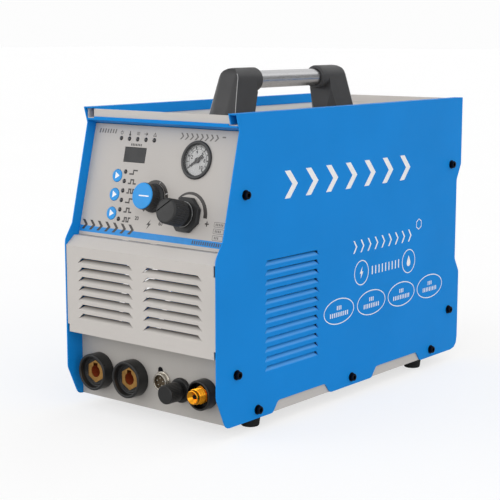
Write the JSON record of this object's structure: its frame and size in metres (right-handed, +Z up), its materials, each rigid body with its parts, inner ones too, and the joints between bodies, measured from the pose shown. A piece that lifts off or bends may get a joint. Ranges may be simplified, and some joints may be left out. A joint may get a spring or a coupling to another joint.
{
  "type": "plasma cutter",
  "caption": "Portable inverter plasma cutter: blue and pale grey sheet-metal case with louvres, carry handle, leaning control panel, air regulator with gauge, and front lead sockets.",
  "frame": {"origin": "on the floor under the centre of the overall box", "axes": "+Z up; the control panel and the front connectors face -Y; +X is to the right as seen by someone facing the front; the carry handle runs along Y"},
  "size_m": [0.24, 0.5274, 0.3961],
  "materials": {
    "blue_paint": "semi-gloss powder coat",
    "beige_paint": "fine-textured powder coat",
    "zinc_steel": "zinc plated",
    "polished_steel": "polished stainless tube",
    "black_screw": "black oxide",
    "black_plastic": "fine-grained moulding",
    "blue_plastic": "satin moulding",
    "black_rubber": "matt",
    "dial_white": "printed dial",
    "clear_lens": "clear polycarbonate",
    "brass": "machined",
    "nickel_plate": "nickel plated",
    "cast_aluminium": "cast and extruded",
    "circuit_board": "solder-masked laminate",
    "core_iron": "core with taped winding",
    "copper_winding": "enamelled copper",
    "valve_brass": "valve body with coil",
    "blue_hose": "polyurethane hose"
  },
  "bodies": {
    "cabinet": {"side_panel_right": "blue_paint", "side_panel_left": "blue_paint", "front_brow": "blue_paint", "base_tray": "beige_paint", "top_cover": "beige_paint", "louvre_cover": "beige_paint", "connector_panel": "beige_paint", "rear_panel": "beige_paint", "control_fascia": "beige_paint", "chassis_bracket": "zinc_steel", "ground_stud": "zinc_steel", "handle_tube": "polished_steel", "side_screw_front_right": "black_screw", "side_screw_front_left": "black_screw", "side_screw_rear_right": "black_screw", "side_screw_rear_left": "black_screw", "handle_post_front": "black_plastic", "handle_post_rear": "black_plastic", "display_window": "black_plastic", "gauge_case": "black_plastic", "regulator_nut": "black_plastic", "work_socket_shell": "black_plastic", "pilot_socket_shell": "black_plastic", "fuse_holder": "black_plastic", "torch_socket_shell": "black_plastic", "fan_grille": "black_plastic", "power_switch_frame": "black_plastic", "cable_gland": "black_plastic", "fan_frame": "black_plastic", "foot_front_left": "black_rubber", "foot_front_right": "black_rubber", "foot_rear_left": "black_rubber", "foot_rear_right": "black_rubber", "gauge_dial": "dial_white", "gauge_lens": "clear_lens", "work_socket_insert": "brass", "pilot_socket_insert": "brass", "torch_fitting": "brass", "air_inlet": "brass", "pin_port": "nickel_plate", "regulator_body": "cast_aluminium", "heat_sink": "cast_aluminium", "control_board": "circuit_board", "power_board": "circuit_board", "main_transformer": "core_iron", "output_inductor": "copper_winding", "solenoid_valve": "valve_brass", "air_hose_supply": "blue_hose", "air_hose_torch": "blue_hose"},
    "current_knob": {"current_knob": "black_plastic", "current_knob_cap": "blue_plastic"},
    "regulator_spindle": {"regulator_spindle": "black_plastic"},
    "regulator_knob": {"regulator_knob": "black_plastic"},
    "button_upper": {"button_upper": "blue_plastic"},
    "button_middle": {"button_middle": "blue_plastic"},
    "button_lower": {"button_lower": "blue_plastic"},
    "gauge_needle": {"gauge_needle": "black_plastic"},
    "fuse_cap": {"fuse_cap": "black_plastic"},
    "power_rocker": {"power_switch_rocker": "black_plastic"},
    "fan_rotor": {"fan_rotor": "black_plastic"}
  },
  "joints": [
    {"name": "current_knob_turn", "type": "hinge", "parent": "cabinet", "child": "current_knob", "pos_m": [-0.004, -0.22213, 0.25441], "axis": [0, -0.9704, 0.2416], "range_deg": [-150, 150]},
    {"name": "regulator_turn", "type": "hinge", "parent": "cabinet", "child": "regulator_spindle", "pos_m": [0.0484, -0.22566, 0.24025], "axis": [0, -0.9704, 0.2416], "range_deg": [-540, 540]},
    {"name": "regulator_lock", "type": "slide", "parent": "regulator_spindle", "child": "regulator_knob", "axis": [0, -0.9704, 0.2416], "range_m": [-0.0045, 0]},
    {"name": "button_upper_press", "type": "slide", "parent": "cabinet", "child": "button_upper", "axis": [0, 0.9704, -0.2416], "range_m": [0, 0.0008], "stiffness_N_per_m": 1500},
    {"name": "button_middle_press", "type": "slide", "parent": "cabinet", "child": "button_middle", "axis": [0, 0.9704, -0.2416], "range_m": [0, 0.0008], "stiffness_N_per_m": 1500},
    {"name": "button_lower_press", "type": "slide", "parent": "cabinet", "child": "button_lower", "axis": [0, 0.9704, -0.2416], "range_m": [0, 0.0008], "stiffness_N_per_m": 1500},
    {"name": "gauge_needle_swing", "type": "hinge", "parent": "cabinet", "child": "gauge_needle", "pos_m": [0.0501, -0.21092, 0.29944], "axis": [0, 0.9704, -0.2416], "range_deg": [0, 270], "stiffness_Nm_per_rad": 0.0005},
    {"name": "fuse_cap_turn", "type": "hinge", "parent": "cabinet", "child": "fuse_cap", "pos_m": [0.0441, -0.25027, 0.0443], "axis": [0, -1, 0], "range_deg": [0, 90]},
    {"name": "power_rocker_tip", "type": "hinge", "parent": "cabinet", "child": "power_rocker", "pos_m": [0.06, 0.22973, 0.14], "axis": [1, 0, 0], "range_deg": [0, 18]},
    {"name": "fan_spin", "type": "hinge", "parent": "cabinet", "child": "fan_rotor", "pos_m": [0, 0.22073, 0.235], "axis": [0, -1, 0], "continuous": true}
  ]
}
